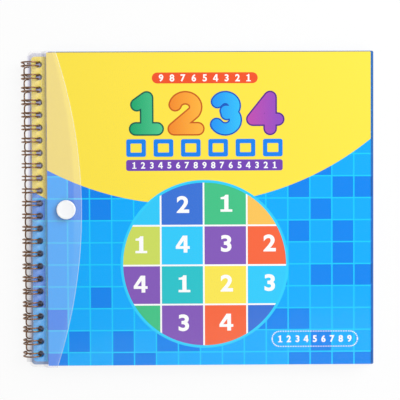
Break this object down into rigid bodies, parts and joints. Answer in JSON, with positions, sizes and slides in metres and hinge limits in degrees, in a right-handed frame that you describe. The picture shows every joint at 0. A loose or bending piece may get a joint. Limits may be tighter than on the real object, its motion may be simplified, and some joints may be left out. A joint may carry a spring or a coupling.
{
  "type": "sudoku board book",
  "caption": "Wire-bound sudoku board book: a snap-flap film pocket with a booklet, turning magnetic board leaves filled with number tiles, and a stiff back cover.",
  "frame": {"origin": "under the middle of the closed book, on the surface that its back cover lies on", "axes": "+Z is the front of the book, +Y the head of the book along the spine, +X from the spine to the fore edge"},
  "size_m": [0.2374, 0.2126, 0.0127],
  "materials": {
    "blue_board": "printed and film laminated grey board",
    "blue_liner": "printed laminated card",
    "bronze_wire": "bronze coated steel wire",
    "board_print": "printed card, gloss film",
    "back_card_print": "printed card, gloss film",
    "tin_plate": "tin plated sheet",
    "clear_film": "translucent polypropylene film",
    "white_snap": "moulded white plastic",
    "cover_print": "printed cover paper, gloss film",
    "white_paper": "uncoated paper",
    "staple_steel": "galvanised wire",
    "tile_1": "printed magnetic rubber, satin",
    "tile_2": "printed magnetic rubber, satin",
    "tile_3": "printed magnetic rubber, satin",
    "tile_4": "printed magnetic rubber, satin",
    "tile_5": "printed magnetic rubber, satin",
    "tile_6": "printed magnetic rubber, satin",
    "tile_7": "printed magnetic rubber, satin",
    "tile_8": "printed magnetic rubber, satin",
    "tile_9": "printed magnetic rubber, satin"
  },
  "bodies": {
    "base": {"back_board": "blue_board", "back_liner": "blue_liner", "wire_binding": "bronze_wire"},
    "leaf_9x9": {"board_9x9_back_card": "back_card_print", "board_9x9_steel": "tin_plate", "board_9x9_face_card": "board_print", "tiles_9x9_number_1": "tile_1", "tiles_9x9_number_2": "tile_2", "tiles_9x9_number_3": "tile_3", "tiles_9x9_number_4": "tile_4", "tiles_9x9_number_5": "tile_5", "tiles_9x9_number_6": "tile_6", "tiles_9x9_number_7": "tile_7", "tiles_9x9_number_8": "tile_8", "tiles_9x9_number_9": "tile_9"},
    "leaf_6x6": {"board_6x6_back_card": "back_card_print", "board_6x6_steel": "tin_plate", "board_6x6_face_card": "board_print", "tiles_6x6_number_1": "tile_1", "tiles_6x6_number_2": "tile_2", "tiles_6x6_number_3": "tile_3", "tiles_6x6_number_4": "tile_4", "tiles_6x6_number_5": "tile_5", "tiles_6x6_number_6": "tile_6"},
    "leaf_4x4": {"board_4x4_back_card": "back_card_print", "board_4x4_steel": "tin_plate", "board_4x4_face_card": "board_print", "tiles_4x4_number_1": "tile_1", "tiles_4x4_number_2": "tile_2", "tiles_4x4_number_3": "tile_3", "tiles_4x4_number_4": "tile_4"},
    "pocket": {"pocket_back_film": "clear_film", "pocket_front_film": "clear_film", "flap_hinge_strip": "clear_film", "snap_stud": "white_snap", "snap_rivet": "white_snap", "booklet_cover": "cover_print", "booklet_sheets": "white_paper", "booklet_staples": "staple_steel"},
    "flap": {"flap_film": "clear_film", "snap_cap": "white_snap", "snap_socket": "white_snap"}
  },
  "joints": [
    {"name": "turn_9x9", "type": "hinge", "parent": "base", "child": "leaf_9x9", "pos_m": [-0.11238, 0, 0.00635], "axis": [0, -1, 0], "range_deg": [0, 180]},
    {"name": "turn_6x6", "type": "hinge", "parent": "leaf_9x9", "child": "leaf_6x6", "pos_m": [-0.11238, 0, 0.00635], "axis": [0, -1, 0], "range_deg": [0, 180]},
    {"name": "turn_4x4", "type": "hinge", "parent": "leaf_6x6", "child": "leaf_4x4", "pos_m": [-0.11283, 0, 0.00675], "axis": [0, -1, 0], "range_deg": [0, 180]},
    {"name": "turn_pocket", "type": "hinge", "parent": "leaf_4x4", "child": "pocket", "pos_m": [-0.11283, 0, 0.00675], "axis": [0, -1, 0], "range_deg": [0, 180]},
    {"name": "open_flap", "type": "hinge", "parent": "pocket", "child": "flap", "pos_m": [-0.10142, 0, 0.01148], "axis": [0, -1, 0], "range_deg": [0, 160]}
  ]
}
